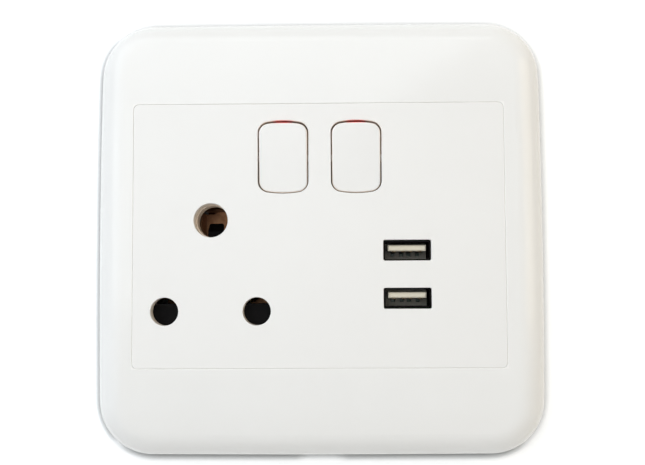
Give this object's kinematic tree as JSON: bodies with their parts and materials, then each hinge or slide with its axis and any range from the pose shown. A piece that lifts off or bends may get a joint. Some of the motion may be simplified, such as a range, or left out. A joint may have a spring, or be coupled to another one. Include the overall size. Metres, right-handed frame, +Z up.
{
  "type": "usb wall socket",
  "caption": "Wall socket plate with a shuttered round-pin outlet, rocker switches and USB charging ports, on a steel frame that screws to a wall box.",
  "frame": {"origin": "middle of the plate, on the wall plane, midway between the two wall screw holes", "axes": "+X to the right seen from the front, +Y into the wall, +Z up"},
  "size_m": [0.125, 0.039, 0.122],
  "materials": {
    "white_gloss": "moulded gloss",
    "white_satin": "moulded satin",
    "housing_plastic": "moulded matte",
    "shutter_plastic": "moulded satin",
    "plunger_plastic": "moulded natural",
    "zinc_steel": "zinc plated",
    "spring_steel": "drawn wire",
    "brass_strip": "pressed strip",
    "brass_block": "machined",
    "tip_metal": "silver alloy",
    "port_shell": "tinned",
    "port_insulator": "moulded",
    "port_contact": "gold flash",
    "board_laminate": "solder mask",
    "ferrite": "sintered",
    "coil_tape": "wrapped tape",
    "can_sleeve": "shrink sleeve",
    "chip_resin": "moulded resin"
  },
  "bodies": {
    "base": {"cover_frame": "white_gloss", "front_panel": "white_satin", "mounting_frame": "zinc_steel", "rear_housing": "housing_plastic", "housing_screws": "zinc_steel", "left_fixed_tip": "tip_metal", "right_fixed_tip": "tip_metal", "left_fixed_contact": "brass_strip", "right_fixed_contact": "brass_strip", "line_busbar": "brass_strip", "live_contact": "brass_strip", "neutral_contact": "brass_strip", "earth_contact": "brass_strip", "line_terminal": "brass_block", "neutral_terminal": "brass_block", "earth_terminal": "brass_block", "terminal_screws": "zinc_steel", "shutter_spring": "spring_steel", "upper_usb_shell": "port_shell", "lower_usb_shell": "port_shell", "upper_usb_tongue": "port_insulator", "lower_usb_tongue": "port_insulator", "upper_usb_contacts": "port_contact", "lower_usb_contacts": "port_contact", "usb_circuit_board": "board_laminate", "transformer_core": "ferrite", "transformer_coil": "coil_tape", "input_capacitor": "can_sleeve", "output_capacitors": "can_sleeve", "charge_controller": "chip_resin", "rectifier": "chip_resin"},
    "left_switch": {"left_rocker": "white_gloss", "left_rocker_plunger": "plunger_plastic", "left_rocker_spring": "spring_steel"},
    "right_switch": {"right_rocker": "white_gloss", "right_rocker_plunger": "plunger_plastic", "right_rocker_spring": "spring_steel"},
    "left_seesaw": {"left_moving_contact": "brass_strip", "left_moving_tip": "tip_metal"},
    "right_seesaw": {"right_moving_contact": "brass_strip", "right_moving_tip": "tip_metal"},
    "shutter": {"safety_shutter": "shutter_plastic"}
  },
  "joints": [
    {"name": "left_rocker_hinge", "type": "hinge", "parent": "base", "child": "left_switch", "pos_m": [-0.0101, -0.0076, 0.0217], "axis": [-1, 0, 0], "range_deg": [0, 10]},
    {"name": "right_rocker_hinge", "type": "hinge", "parent": "base", "child": "right_switch", "pos_m": [0.0101, -0.0076, 0.0217], "axis": [-1, 0, 0], "range_deg": [0, 10]},
    {"name": "left_seesaw_hinge", "type": "hinge", "parent": "base", "child": "left_seesaw", "pos_m": [-0.0101, 0.0066, 0.0217], "axis": [1, 0, 0], "range_deg": [0, 10]},
    {"name": "right_seesaw_hinge", "type": "hinge", "parent": "base", "child": "right_seesaw", "pos_m": [0.0101, 0.0066, 0.0217], "axis": [1, 0, 0], "range_deg": [0, 10]},
    {"name": "shutter_slide", "type": "slide", "parent": "base", "child": "shutter", "axis": [0, 0, -1], "range_m": [0, 0.006], "stiffness_N_per_m": 150, "springref_m": -0.004, "deforming": ["shutter_spring"]}
  ],
  "couplings": [
    {"joint": "left_seesaw_hinge", "follows": "left_rocker_hinge", "ratio": 1},
    {"joint": "right_seesaw_hinge", "follows": "right_rocker_hinge", "ratio": 1}
  ]
}
